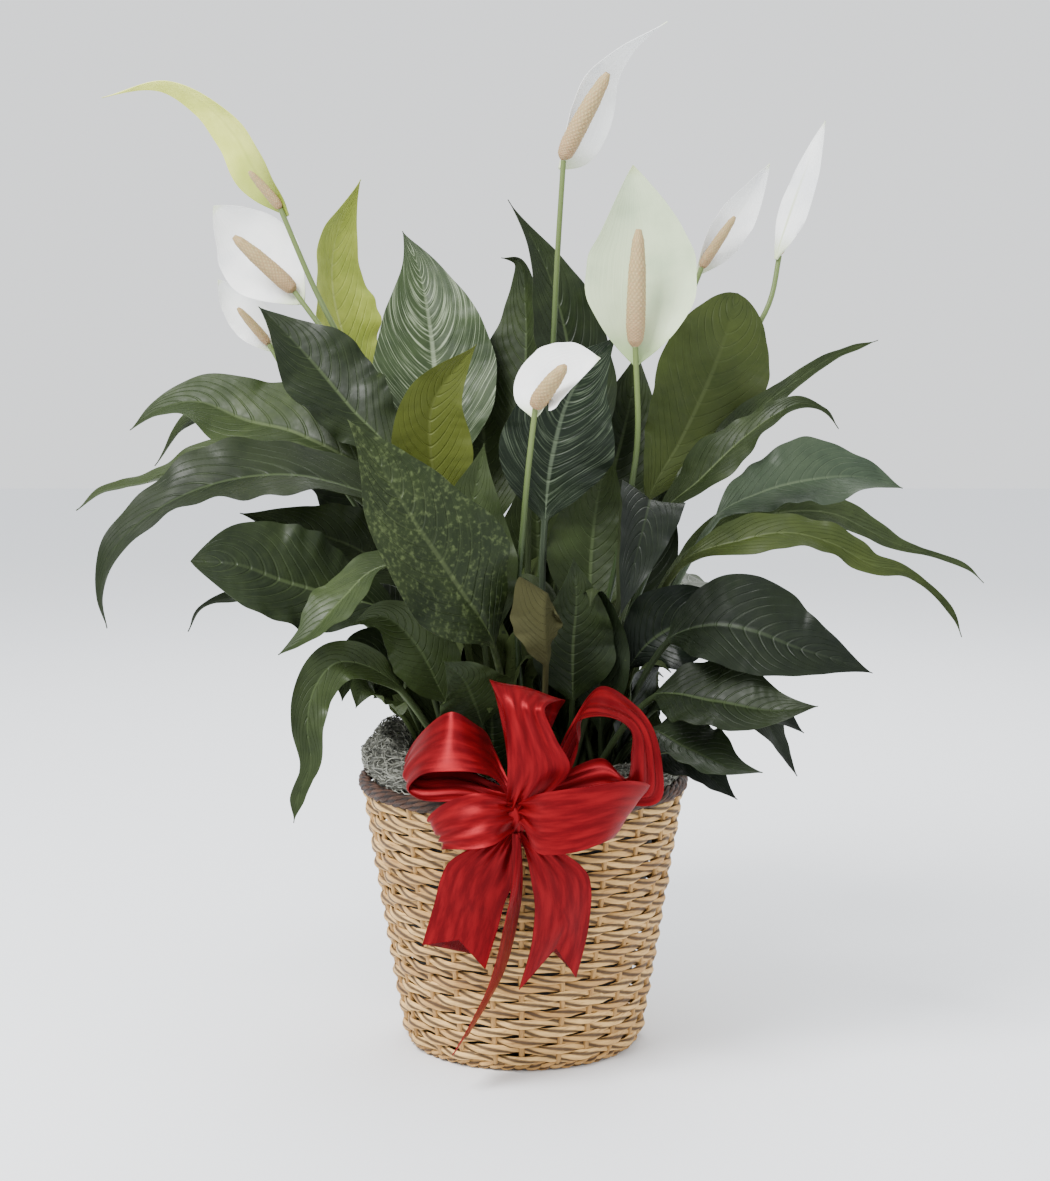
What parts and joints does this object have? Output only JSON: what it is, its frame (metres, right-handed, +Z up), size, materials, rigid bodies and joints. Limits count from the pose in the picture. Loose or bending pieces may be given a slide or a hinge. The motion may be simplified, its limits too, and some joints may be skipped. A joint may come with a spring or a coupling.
{
  "type": "potted peace lily",
  "caption": "Peace lily with white blooms and long pointed leaves, standing in a wicker basket with moss and a red ribbon bow.",
  "frame": {"origin": "centre of the basket's flat underside, on the surface it stands on", "axes": "+Z up, -Y to the front where the bow is tied, +X to the right as seen from the front"},
  "size_m": [0.6643, 0.4231, 0.7146],
  "materials": {
    "wicker": "matt woven straw",
    "rim": "matt, stained dark",
    "pot": "matt moulded",
    "soil": "crumbly, damp",
    "moss": "dry, fibrous",
    "ribbon": "satin",
    "leaf": "glossy, waxy",
    "pale_leaf": "satin, waxy",
    "stalk": "satin",
    "spathe": "soft satin",
    "green_spathe": "soft satin",
    "spadix": "matt, knobbly"
  },
  "bodies": {
    "root": {"woven_basket": "wicker", "basket_rim": "rim", "grow_pot": "pot", "soil": "soil", "moss_collar": "moss", "ribbon_bow": "ribbon", "leaf_back_left_of_centre": "leaf", "leaf_back_far_left": "pale_leaf", "leaf_back_hooked": "leaf", "leaf_back_right_of_centre": "leaf", "leaf_right_broad": "pale_leaf", "leaf_left_upright": "leaf", "leaf_left_upper": "leaf", "leaf_left_flap": "leaf", "leaf_left_long": "leaf", "leaf_left_middle": "leaf", "leaf_left_pale": "pale_leaf", "leaf_left_hanging": "leaf", "leaf_middle_olive": "pale_leaf", "leaf_middle_striped": "leaf", "leaf_front_tall": "leaf", "leaf_front_small": "pale_leaf", "leaf_front_right": "leaf", "leaf_right_slim": "leaf", "leaf_right_curled": "leaf", "leaf_right_upper": "leaf", "leaf_right_long": "leaf", "leaf_right_twisted": "leaf", "leaf_right_low": "leaf", "leaf_right_lower": "leaf", "crown_left": "leaf", "crown_front": "leaf", "crown_right": "leaf", "crown_back_left": "leaf", "crown_back_right": "leaf", "crown_middle_right": "leaf", "bloom_top_stalk": "stalk", "bloom_top_spathe": "spathe", "bloom_top_spadix": "spadix", "bloom_right_of_centre_stalk": "stalk", "bloom_right_of_centre_spathe": "spathe", "bloom_right_of_centre_spadix": "spadix", "bloom_middle_stalk": "stalk", "bloom_middle_spathe": "spathe", "bloom_middle_spadix": "spadix", "bloom_left_stalk": "stalk", "bloom_left_spathe": "spathe", "bloom_left_spadix": "spadix", "bloom_far_left_stalk": "stalk", "bloom_far_left_spathe": "green_spathe", "bloom_far_left_spadix": "spadix", "bloom_right_stalk": "stalk", "bloom_right_spathe": "spathe", "bloom_right_spadix": "spadix", "bloom_back_stalk": "stalk", "bloom_back_spathe": "spathe", "bloom_back_spadix": "spadix", "bloom_back_left_stalk": "stalk", "bloom_back_left_spathe": "spathe", "bloom_back_left_spadix": "spadix"}
  },
  "joints": []
}
